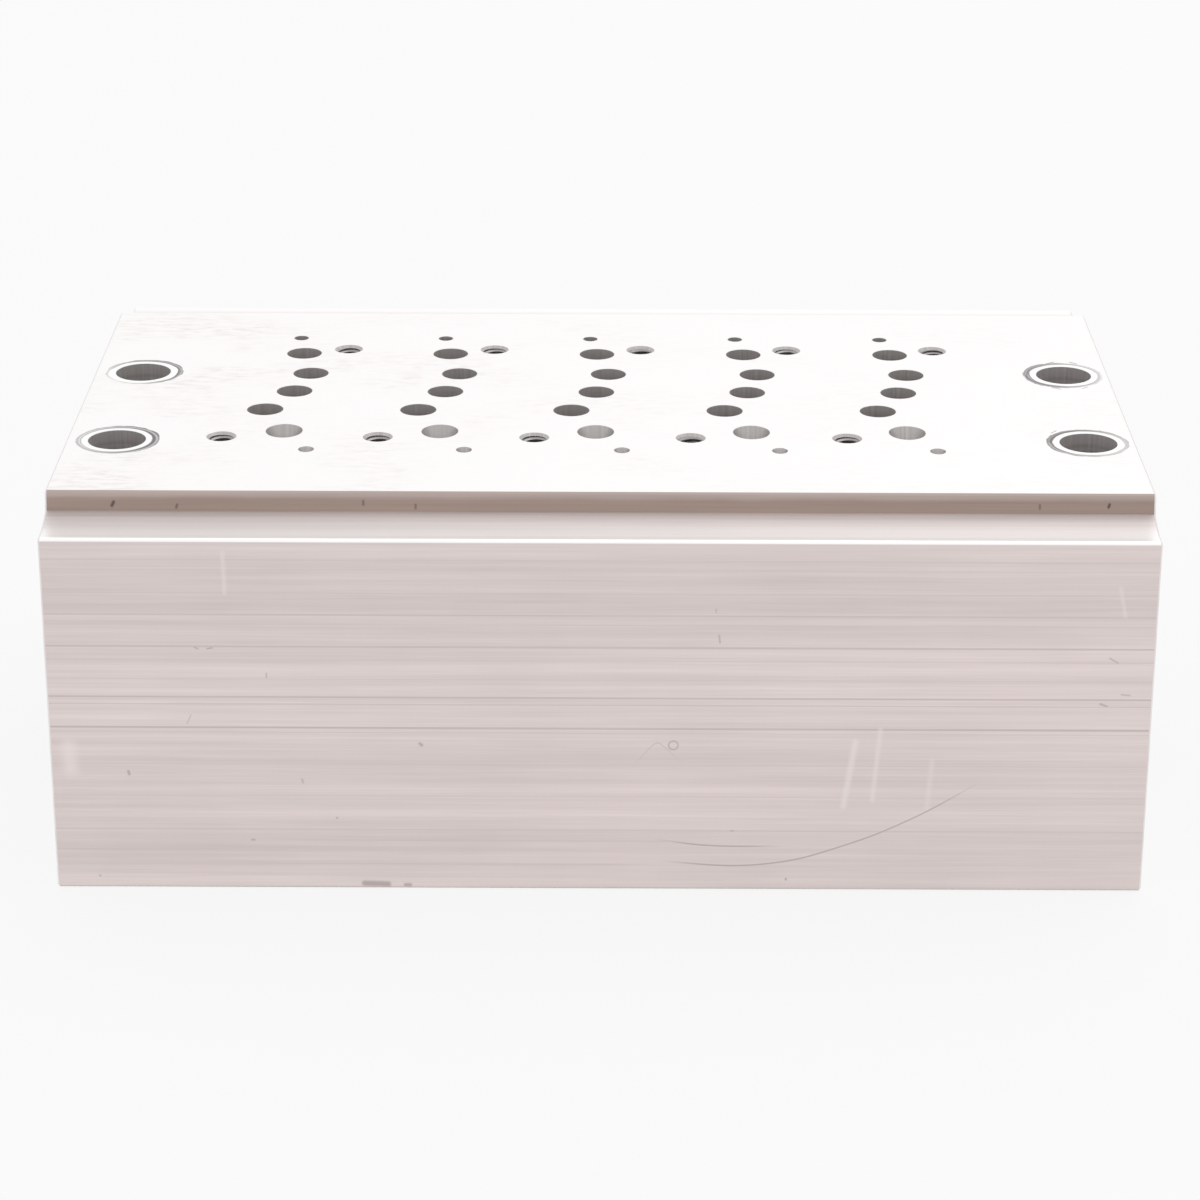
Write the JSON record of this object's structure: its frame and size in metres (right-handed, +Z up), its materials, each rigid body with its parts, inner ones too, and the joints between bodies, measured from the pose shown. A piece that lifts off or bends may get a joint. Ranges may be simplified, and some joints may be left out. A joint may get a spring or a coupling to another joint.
{
  "type": "pneumatic valve manifold block",
  "caption": "Extruded aluminium block with a raised land drilled for a row of valves, side outlets, lengthwise galleries and through bolts.",
  "frame": {"origin": "middle of the underside", "axes": "+X along the row of valves, +Y out of the rear face with the outlets, +Z up out of the valve land"},
  "size_m": [0.1296, 0.0902, 0.048],
  "materials": {
    "aluminium": "milled land and ends, as-extruded sides with fine lengthwise lines"
  },
  "bodies": {
    "root": {"manifold_block": "aluminium"}
  },
  "joints": []
}
